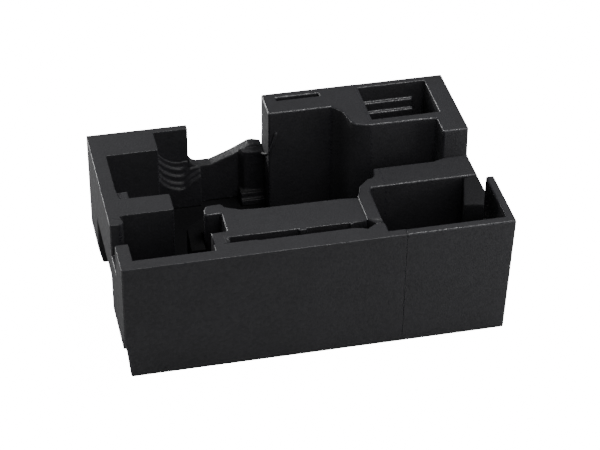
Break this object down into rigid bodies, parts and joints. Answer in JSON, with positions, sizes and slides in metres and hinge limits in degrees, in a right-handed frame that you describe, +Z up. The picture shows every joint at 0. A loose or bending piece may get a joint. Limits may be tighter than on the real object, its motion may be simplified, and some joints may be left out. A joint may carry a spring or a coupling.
{
  "type": "moulded foam organiser tray",
  "caption": "Black moulded foam tray with fitted pockets, a ribbed saddle rest, a middle bridge with a long slot, and a tall rear block with a square pocket.",
  "frame": {"origin": "centre of the whole tray's footprint, on the face it stands on", "axes": "+X to the right along the front wall, +Y to the back, +Z up"},
  "size_m": [0.4, 0.245, 0.173],
  "materials": {
    "moulded_foam": "fine beaded foam skin, matt",
    "base_foam": "fine beaded foam skin, matt, slightly darker",
    "pad_foam": "softer beaded foam, matt"
  },
  "bodies": {
    "root": {"base_plate": "base_foam", "left_tray": "moulded_foam", "right_panel": "moulded_foam", "shelf_block": "moulded_foam", "tall_block": "moulded_foam", "middle_bridge": "moulded_foam", "saddle_rest": "moulded_foam", "corner_pad": "pad_foam", "pocket_step": "pad_foam", "pocket_end_pad": "pad_foam"}
  },
  "joints": []
}
